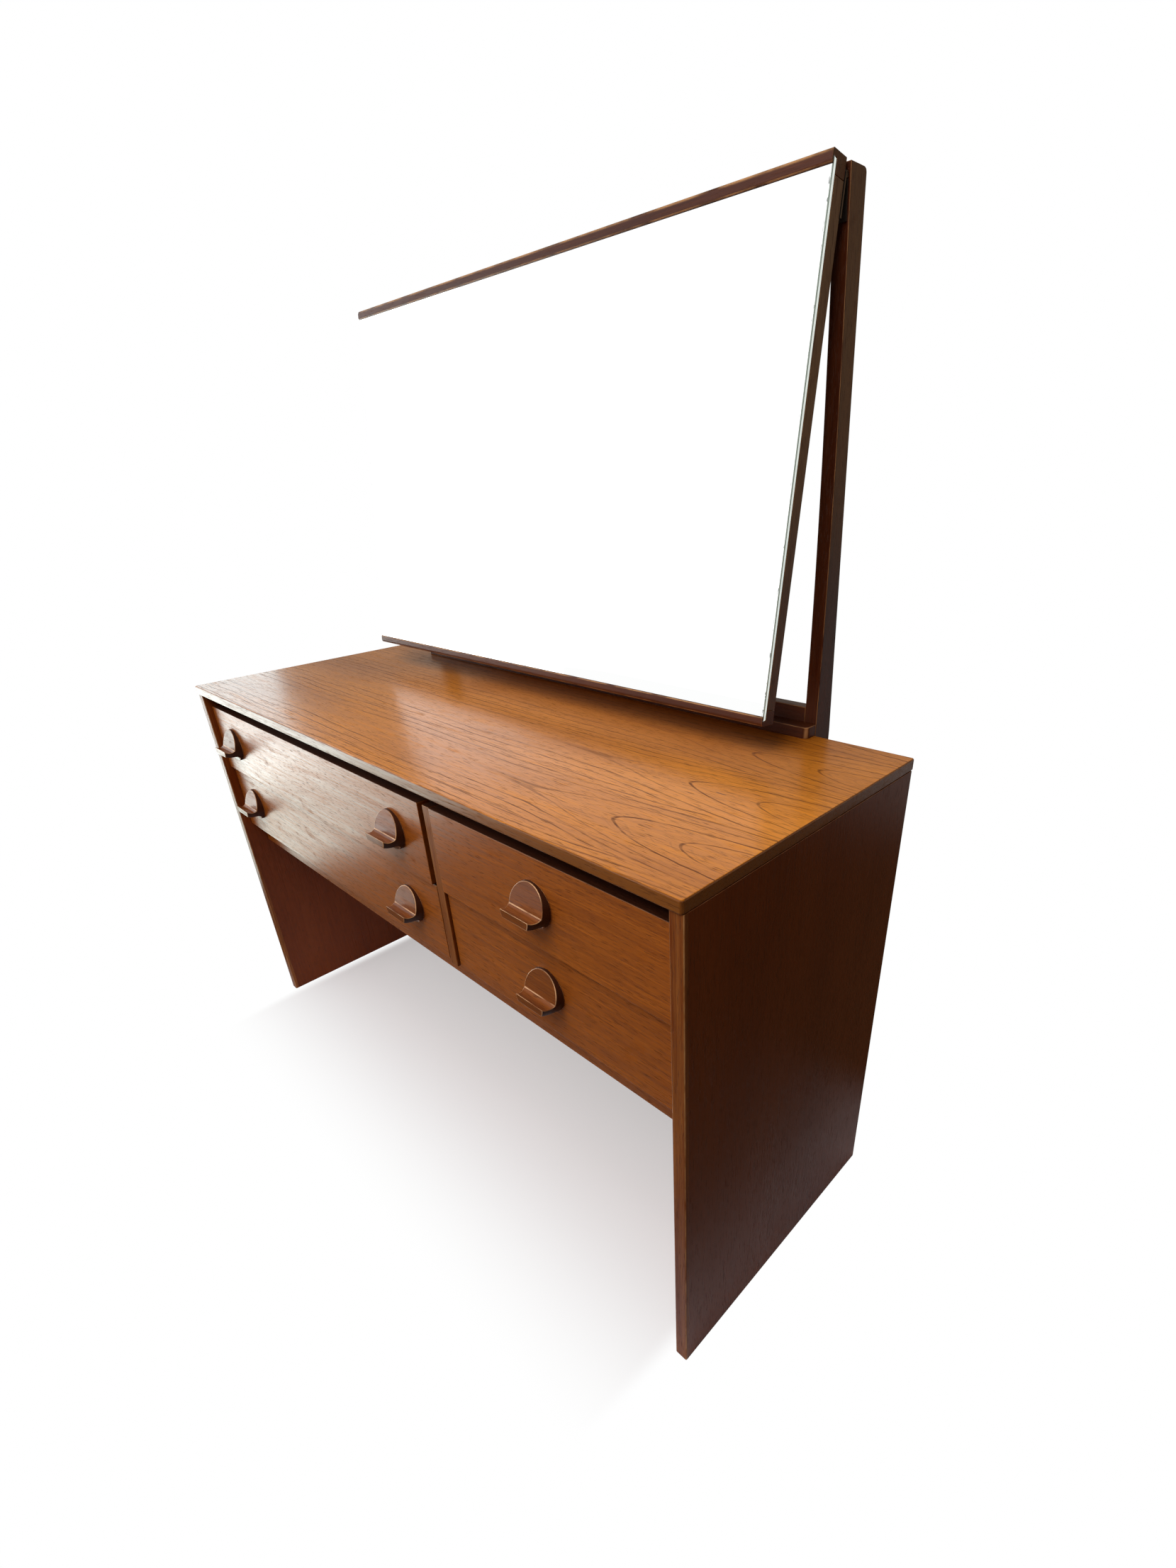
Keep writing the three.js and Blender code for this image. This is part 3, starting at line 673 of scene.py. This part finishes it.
# %% [markdown]
# ## End boards and their front strips
#
# Each end is a veneered board with a strip of solid teak glued to its front edge. The
# strip hides the core of the board and takes the knocks, so its two front arrises are
# well rounded and worn pale.

# %% Make the ends
STRIP_ARRIS = 2.0 * MM
PLAIN_ARRIS = 0.6 * MM

for side in ("left", "right"):
    strip = f"{side}_end_lipping"
    mesh = board(*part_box(strip))
    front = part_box(strip)[0].y
    outer = [edge for edge in mesh.edges if runs_along(edge, 2) and edge.verts[0].co.y < front + MM]
    ease(mesh, outer, STRIP_ARRIS, 4)
    make_piece(f"{side}_front_strip", mesh, "desk", [teak_strip], [strip])
    panel = f"{side}_end_panel"
    mesh = board(*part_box(panel))
    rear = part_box(panel)[1].y
    ease(mesh, [edge for edge in mesh.edges if edge.verts[0].co.y > rear - MM], PLAIN_ARRIS)
    make_piece(f"{side}_end_board", mesh, "desk", [teak_side], [panel])
print("ends made")

# %% [markdown]
# ## Handles
#
# Each handle starts as a shallow cone turned on a lathe. The turner then scoops out its
# upper half, which leaves a lip for the fingers across the middle, and hollows the lip
# from below. In Blender the cone is a profile spun about its axis. The carving is the
# handle's outline from the side, extruded into a slab. A Boolean modifier keeps what is
# inside both, and a bevel then softens every cut edge. The shape is made once and
# copied to each drawn handle's place.

# %% Turn the cone
HANDLE_RADIUS = 30 * MM
SHOULDER_RADIUS = 29.5 * MM
SHOULDER_FORWARD = 14 * MM
NOSE_RADIUS = 25 * MM
NOSE_FORWARD = 31 * MM


def turned_cone():
    mesh = bmesh.new()
    profile = (
        (0, 0), (HANDLE_RADIUS, 0), (SHOULDER_RADIUS, SHOULDER_FORWARD),
        (NOSE_RADIUS, NOSE_FORWARD), (0, NOSE_FORWARD),
    )
    points = [mesh.verts.new((radius, -forward, 0)) for radius, forward in profile]
    edges = [mesh.edges.new(pair) for pair in zip(points, points[1:])]
    bmesh.ops.spin(
        mesh, geom=points + edges, cent=(0, 0, 0), axis=(0, 1, 0),
        dvec=(0, 0, 0), angle=math.tau, steps=96, use_merge=True,
    )
    bmesh.ops.remove_doubles(mesh, verts=mesh.verts, dist=TOUCHING)
    bmesh.ops.recalc_face_normals(mesh, faces=mesh.faces)
    return mesh


print("cone:", 2 * HANDLE_RADIUS / MM, "mm across")

# %% Draw the carving from the side
TOP_RIM = 4.5 * MM
BOTTOM_RIM = 5 * MM
CREASE = (14.5 * MM, -3 * MM)
SCOOP_PULL = (22.75 * MM, -9 * MM)
LIP_TOP = -1.5 * MM
LIP_BOTTOM = -12.5 * MM
UNDERCUT = (16 * MM, -15.5 * MM)
ROLL_PULL = (23.5 * MM, -16.5 * MM)


def side_point(forward, up):
    return Vector((0, -forward, up))


def bow(start, pull, end, steps=12):
    """Points on a curve from start to end that leans towards pull."""
    first = start.lerp(pull, 2 / 3)
    last = end.lerp(pull, 2 / 3)
    return interpolate_bezier(start, first, last, end, steps)


def carving():
    past = HANDLE_RADIUS + MM
    nose_top = side_point(NOSE_FORWARD, LIP_TOP)
    nose_bottom = side_point(NOSE_FORWARD, LIP_BOTTOM)
    undercut = side_point(*UNDERCUT)
    tail_pull = side_point(BOTTOM_RIM, UNDERCUT[1])
    tail = side_point(BOTTOM_RIM, -SHOULDER_RADIUS)
    points = [side_point(0, -past), side_point(0, past), side_point(TOP_RIM, past)]
    points += [side_point(TOP_RIM, SHOULDER_RADIUS)]
    points += bow(side_point(*CREASE), side_point(*SCOOP_PULL), nose_top)
    points += bow(nose_bottom, side_point(*ROLL_PULL), undercut)
    points += bow(undercut, tail_pull, tail)[1:]
    points += [side_point(BOTTOM_RIM, -past)]
    mesh = bmesh.new()
    face = mesh.faces.new([mesh.verts.new(point) for point in points])
    slab = bmesh.ops.extrude_face_region(mesh, geom=[face])
    far = [item for item in slab["geom"] if isinstance(item, bmesh.types.BMVert)]
    bmesh.ops.translate(mesh, verts=far, vec=(2 * past, 0, 0))
    bmesh.ops.translate(mesh, verts=mesh.verts, vec=(-past, 0, 0))
    bmesh.ops.recalc_face_normals(mesh, faces=mesh.faces)
    return mesh


print("lip:", round((LIP_TOP - LIP_BOTTOM) / MM, 1), "mm thick")

# %% Carve one handle and copy it to each place
HANDLE_ARRIS = 0.8 * MM
SMALLEST_EDGE = 0.7 * MM


def carved_handle():
    cone = put("cone", stored("cone", turned_cone()))
    knife = put("carving", stored("carving", carving()))
    cut = cone.modifiers.new("carve", "BOOLEAN")
    cut.operation = "INTERSECT"
    cut.solver = "EXACT"
    cut.object = knife
    cut_out = cone.evaluated_get(bpy.context.evaluated_depsgraph_get())
    mesh = bmesh.new()
    mesh.from_mesh(cut_out.to_mesh())
    mesh.faces.layers.float.new("arris")
    bpy.data.objects.remove(cone)
    bpy.data.objects.remove(knife)
    bmesh.ops.remove_doubles(mesh, verts=mesh.verts, dist=SMALLEST_EDGE)
    join_flat_faces(mesh)
    ease(mesh, sharp_edges(mesh), HANDLE_ARRIS, clamped=False)
    bmesh.ops.recalc_face_normals(mesh, faces=mesh.faces)
    # The turned side of the nose gets the painted shade.
    for face in mesh.faces:
        turned_side = math.hypot(face.normal.x, face.normal.z) > SQUARE_ON
        out = math.hypot(*face.calc_center_median().xz) > NOSE_RADIUS - MM
        face.material_index = 1 if turned_side and out else 0
    return stored("handle", mesh)


handle_shape = carved_handle()
for node in [name for name in nodes if "_handle" in name]:
    low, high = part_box(node)
    place = Vector(((low.x + high.x) / 2, low.y + NOSE_FORWARD, (low.z + high.z) / 2))
    mesh = bmesh.new()
    mesh.from_mesh(handle_shape)
    bmesh.ops.translate(mesh, verts=mesh.verts, vec=place)
    drawer = node.split("_handle")[0]
    make_piece(node.replace("_handle", "_carved_handle"), mesh, drawer,
               [teak_handle, teak_turned_painted_shade], [node])
print("handle:", len(handle_shape.polygons), "faces")

# %% [markdown]
# ## Rails, divider, posts and ledge
#
# The other teak parts keep the shapes that they were drawn with. Each is copied,
# merged, and gets its own arris: soft on the ledge and the posts, where hands go, and
# hardly any on the rail behind the shadow gap. That rail is painted near-black for the
# shade in the gap, and the divider's edges have painted shade like a front's.

# %% Ease the solid parts of the desk and the stand
# The slot, the wood and the arris in mm of each.
solid_parts = {
    "centre_divider": ("teak_lipping", teak_strip, 1.0),
    # Painted shade: this rail behind the shadow gap is near-black teak.
    "front_top_rail": ("teak_dark", teak_painted_shade, 0.6),
    "front_lower_rail": ("teak_dark", teak_front, 1.0),
    "left_mirror_post": ("teak_dark", teak_post, 1.2),
    "right_mirror_post": ("teak_dark", teak_post, 1.2),
    "mirror_ledge": ("teak_dark", teak_rail, 1.5),
    "mirror_stand_rail": ("teak_dark", teak_rail, 1.5),
}
for node, (slot, wood, arris_mm) in solid_parts.items():
    mesh = merged_copy(node)
    woods = [wood]
    # The divider's faces in the gaps get painted shade, as on the fronts.
    if node == "centre_divider":
        woods += [teak_painted_shade, teak_cheek_shade]
        for face in mesh.faces:
            face.material_index = gap_shade(face)
    ease(mesh, sharp_edges(mesh), arris_mm * MM)
    make_piece(f"{node}_eased", mesh, "desk", woods, [node])
print("solid parts eased:", len(solid_parts))

# %% [markdown]
# ## The mirror
#
# The glass sits in grooves in two rails, and two upright stiles behind it carry the
# hinges. It has no frame at its sides, so the edge of the glass shows. Its front and
# back arrises are ground to narrow bevels, which is one bevel with a single segment.
# Which way a face looks then decides its finish. The two rails are rounded in front.

# %% Make the glass
GLASS_BEVEL = 1.2 * MM
# The front, the bevels, the edge between them and the back.
glass_finishes = [mirror_silver, ground_edge, polished_edge, silver_paint]

mesh = merged_copy("mirror_glass")
ease(mesh, sharp_edges(mesh), GLASS_BEVEL, 1)
mesh.normal_update()
forward = [face for face in mesh.faces if face.normal.y < -0.5]
facing = max(forward, key=lambda face: face.calc_area()).normal.copy()
for face in mesh.faces:
    lean = face.normal.dot(facing)
    if lean > 0.99:
        face.material_index = 0
    elif lean < -0.99:
        face.material_index = 3
    else:
        face.material_index = 1 if abs(lean) > 0.3 else 2
make_piece("silvered_glass", mesh, "mirror", glass_finishes, ["mirror_glass"])
print("the glass leans back", round(math.degrees(math.asin(facing.z)), 1), "degrees")

# %% Ease the mirror's rails and stiles
NOSING = 4 * MM
RAIL_ARRIS = 0.8 * MM
mirror_parts = {
    "mirror_top_rail": teak_rail,
    "mirror_bottom_rail": teak_rail,
    "mirror_left_stile": teak_stile,
    "mirror_right_stile": teak_stile,
}

for node, wood in mirror_parts.items():
    mesh = merged_copy(node)
    if wood is teak_rail:
        foremost = max(facing.dot(vert.co) for vert in mesh.verts) - MM
        lengthwise = [edge for edge in sharp_edges(mesh) if runs_along(edge, 0)]
        ahead = [edge for edge in lengthwise if facing.dot(edge.verts[0].co) > foremost]
        ease(mesh, ahead, NOSING, 5)
    ease(mesh, sharp_edges(mesh), RAIL_ARRIS)
    make_piece(f"{node}_eased", mesh, "mirror", [wood], [node])
print("mirror parts eased:", len(mirror_parts))

# %% [markdown]
# ## Parts inside and behind
#
# Drawer boxes, runners, backs and hinges keep their drawn shapes. They only need a
# finish of their own, and a thin live bevel in place of the merged copy. The Weld
# modifier joins their loose triangles first, so that the bevel finds real edges.

# %% Finish the drawn parts that stay
HINGE_ARRIS = 0.2 * MM
BOX_ARRIS = 0.5 * MM
# The finish of every drawn part that has the word in its name.
stays = {
    "runner": beech_along,
    "_side": beech_along,
    "drawer_back": beech_across,
    "rear_": beech_across,
    "back_panel": ply_across,
    "backing_board": ply_across,
    "_bottom": ply_flat,
    "hinge_leaf": hinge_steel,
}


def dress(drawn, material, arris):
    """Give a drawn part its finish and a live bevel."""
    drawn.data.materials.clear()
    drawn.data.materials.append(material)
    weld = drawn.modifiers.new("weld", "WELD")
    weld.merge_threshold = TOUCHING
    rounding = drawn.modifiers.new("arris", "BEVEL")
    rounding.width = arris
    rounding.segments = 2
    rounding.limit_method = "ANGLE"
    rounding.angle_limit = SHARP


dressed = 0
for name, drawn in nodes.items():
    for part, material in stays.items():
        if part in name:
            dress(drawn, material, HINGE_ARRIS if part == "hinge_leaf" else BOX_ARRIS)
            dressed += 1
            break
print("drawn parts dressed:", dressed)

# %% [markdown]
# ## Pins in the back
#
# The thin back is held by small round-headed pins all the way round. Each head is a
# flat cone with its point cut off, and one mesh holds them all.

# %% Pin the back
PIN_RADIUS = 2.2 * MM
PIN_TOP_RADIUS = 0.6 * PIN_RADIUS
PIN_HEIGHT = 0.7 * MM
PIN_INSET = 9 * MM
PIN_STEP = 100 * MM


def evenly(start, end, step):
    """Places from start to end, about a step apart."""
    count = round((end - start) / step)
    return [start + (end - start) * number / count for number in range(count + 1)]


low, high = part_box("back_panel")
columns = evenly(low.x + PIN_INSET, high.x - PIN_INSET, PIN_STEP)
rows = evenly(low.z + PIN_INSET, high.z - PIN_INSET, PIN_STEP)
places = [(x, z) for x in columns for z in (rows[0], rows[-1])]
places += [(x, z) for x in (columns[0], columns[-1]) for z in rows[1:-1]]
mesh = bmesh.new()
for x, z in places:
    head = bmesh.ops.create_cone(
        mesh, cap_ends=True, segments=12, radius1=PIN_RADIUS, radius2=PIN_TOP_RADIUS,
        depth=PIN_HEIGHT,
    )["verts"]
    bmesh.ops.rotate(mesh, verts=head, cent=(0, 0, 0), matrix=Matrix.Rotation(-math.pi / 2, 3, "X"))
    bmesh.ops.translate(mesh, verts=head, vec=(x, high.y + PIN_HEIGHT / 2, z))
make_piece("back_pins", mesh, "desk", [hinge_steel])
print("pins:", len(places))

# %% [markdown]
# ## Floor and light
#
# The table stands on a pale floor. To the camera the floor is white far away and keeps
# the table's shadow close by: it mixes a plain white glow with a matt cloth, and the
# share of the cloth falls off with the distance from the table's footprint, slowly in
# front and steeply at the ends and behind. To everything but the camera, the cloth is a
# sheet just under the table and the floor round it is dark boards. In the polish, those
# boards are lit near the left wall and the rear wall.

# %% Lay the floor
HALF_FLOOR = 12.0
CLOTH = (0.88, 0.79, 0.79)
BOARDS = (0.22, 0.12, 0.06)
WHITE = (1, 1, 1, 1)
SHADOW_HALF_WIDTH = 0.56
SHADOW_FRONT = -0.07
SHADOW_REAR = 0.24
SHADOW_REACH = 0.34
STEEPER_AT_ENDS = 9
STEEPER_BEHIND = 7
SHADOW_SHARE = 0.62
SHEET_HALF_WIDTH = 0.62
SHEET_HALF_DEPTH = 0.30
LIT_LEFT_OF = -1.8
LIT_BEHIND = 1.35

mesh = bmesh.new()
bmesh.ops.create_grid(mesh, x_segments=1, y_segments=1, size=HALF_FLOOR)
floor = put("floor", stored("floor", mesh))


def ray(graph, kind):
    """1 for rays of one kind, Camera or Glossy, and 0 for all others."""
    return graph.add("ShaderNodeLightPath", {}, {}, f"Is {kind} Ray")


def near_table(x, y):
    """1 under the table, and 0 where its shadow has faded away."""
    ends = (abs(x) - SHADOW_HALF_WIDTH).at_least(0.0) * STEEPER_AT_ENDS
    ahead = (SHADOW_FRONT - y).at_least(0.0)
    behind = (y - SHADOW_REAR).at_least(0.0) * STEEPER_BEHIND
    away = (ends ** 2 + (ahead + behind) ** 2).root()
    return 1 - away.rise(0.0, SHADOW_REACH)


def on_sheet(x, y):
    """1 on the sheet under the table, and 0 on the boards round it."""
    beside = (abs(x) - SHEET_HALF_WIDTH).rise(0.0, 0.15)
    past = (abs(y) - SHEET_HALF_DEPTH).rise(0.0, 0.12)
    return (1 - beside) * (1 - past)


def lit_boards(x, y):
    """How much the boards shine in the polish, near the left wall and the rear wall."""
    by_left_wall = (LIT_LEFT_OF - x).rise(0.0, 0.6)
    by_rear_wall = (y - LIT_BEHIND).rise(0.0, 0.5) * 0.30
    return by_left_wall.at_least(by_rear_wall)


def floor_cloth():
    material = bpy.data.materials.new("floor_cloth")
    graph = Graph(material)
    x, y = place_along(graph, "XY")
    camera_ray = ray(graph, "Camera")
    colour = graph.mix(camera_ray.at_least(on_sheet(x, y)), BOARDS, CLOTH)
    cloth = graph.add("ShaderNodeBsdfDiffuse", {}, {"Color": colour})
    glow = graph.add("ShaderNodeEmission", {}, {"Color": WHITE, "Strength": 1.0})
    to_camera = camera_ray * (1 - near_table(x, y) * SHADOW_SHARE)
    to_gloss = ray(graph, "Glossy") * lit_boards(x, y)
    share = to_camera.at_least(to_gloss)
    mixed = graph.add("ShaderNodeMixShader", {}, {0: share, 1: cloth, 2: glow})
    graph.add("ShaderNodeOutputMaterial", {}, {"Surface": mixed})
    return material


floor.data.materials.append(floor_cloth())
print("floor:", 2 * HALF_FLOOR, "m wide")

# %% [markdown]
# The room has one tall curtained window at the sitter's left, and soft light from above,
# in front and behind. Area lamps give all of it, and the camera sees none of them. The
# window, its curtain, and the sun on the wall and floor beside it only shine in the
# polish, and the soft lights only light the table and the floor. The window and the sun
# are tinted, so that their glare on the warm wood comes out neutral.

# %% Hang the lamps
def lamp(name, place, aim, width, height, radiance, tint=(1, 1, 1), glossy=True, diffuse=True):
    """A rectangle of light at place, facing aim. Radiance 1 is a sheet of white paper."""
    light = bpy.data.lights.new(name, "AREA")
    light.shape = "RECTANGLE"
    light.size = width
    light.size_y = height
    light.energy = radiance * math.pi * width * height
    light.color = tint
    hung = put(name, light)
    hung.location = place
    hung.rotation_euler = (Vector(aim) - Vector(place)).to_track_quat("-Z", "Y").to_euler()
    hung.visible_camera = False
    hung.visible_glossy = glossy
    hung.visible_diffuse = diffuse


SKY = (0.74, 0.94, 1.0)
SUNLIT = (0.88, 1.0, 0.91)
WALL = -2.1

lamp("window", (WALL, 0.17, 1.05), (0, 0.17, 1.05), 0.57, 2.1, 3.0, SKY, diffuse=False)
lamp("curtain", (WALL, -1.00, 1.05), (0, -1.00, 1.05), 1.75, 2.1, 1.0, diffuse=False)
lamp("sunny_wall", (-2.08, -0.75, 0.45), (0, -0.75, 0.45), 1.6, 0.9, 1.9, SUNLIT, diffuse=False)
lamp("sunny_floor", (-1.70, -0.75, 0.02), (-1.70, -0.75, 1), 1.1, 1.6, 2.4, SUNLIT, diffuse=False)
lamp("sky", (-1.2, -1.6, 3.2), (0, 0, 0.5), 2.6, 2.6, 0.9, glossy=False)
lamp("ceiling", (0.6, -1.1, 2.1), (0.4, 0, 0.7), 1.0, 1.0, 6.4, glossy=False)
lamp("daylight", (-0.9, -2.4, 1.3), (0, 0.1, 0.75), 1.6, 1.4, 0.8, glossy=False)
lamp("room_behind", (-0.5, 2.6, 1.5), (0, 0.2, 0.6), 2.2, 1.8, 1.5, glossy=False)
print("lamps:", len(bpy.data.lights))

# %% [markdown]
# The world stands for the rest of the room. To the camera it is white. In the polish it
# is nearly black, but paler towards the far left wall, the corner at the back right and
# the wall at the front right, and bright where the mirror looks, which is over the
# sitter's left shoulder. To all else it is a faint light, weaker from the right.

# %% Light the room
GOLDEN = (1.0, 0.88, 0.74)
AMBER = (1.0, 0.62, 0.32)


def room():
    world = bpy.data.worlds.new("room")
    bpy.context.scene.world = world
    graph = Graph(world)
    place = graph.add("ShaderNodeTexCoord", {}, {}, "Generated")

    def towards(*direction):
        inputs = {0: place, 1: Vector(direction).normalized()}
        return graph.add("ShaderNodeVectorMath", {"operation": "DOT_PRODUCT"}, inputs, 1)

    camera_ray = ray(graph, "Camera")
    glossy_ray = ray(graph, "Glossy")
    bright = towards(-0.72, -0.62, 0.22).rise(0.60, 0.80)
    wall = towards(-0.62, 0.72, 0.32).rise(0.60, 0.95)
    corner = towards(0.49, 0.86, 0.05).rise(0.86, 0.97)
    opposite = towards(0.50, -0.85, 0.10).rise(0.30, 0.80)
    shine = bright * 1.1 + wall * 0.50 + corner * 0.75 + opposite * 0.55 + 0.02
    from_right = towards(1, 0, 0.1).rise(0.0, 0.8)
    dim = (1 - camera_ray) * (1 - glossy_ray) * (1 - from_right * 0.45) * 0.15
    strength = camera_ray.at_least(glossy_ray * shine) + dim
    colour = graph.mix(wall * glossy_ray, (1, 1, 1), GOLDEN)
    colour = graph.mix(corner * glossy_ray, colour, AMBER)
    light = graph.add("ShaderNodeBackground", {}, {"Color": colour, "Strength": strength})
    graph.add("ShaderNodeOutputWorld", {}, {"Surface": light})


room()
bpy.context.scene.view_settings.view_transform = "Standard"
print("view:", bpy.context.scene.view_settings.view_transform)
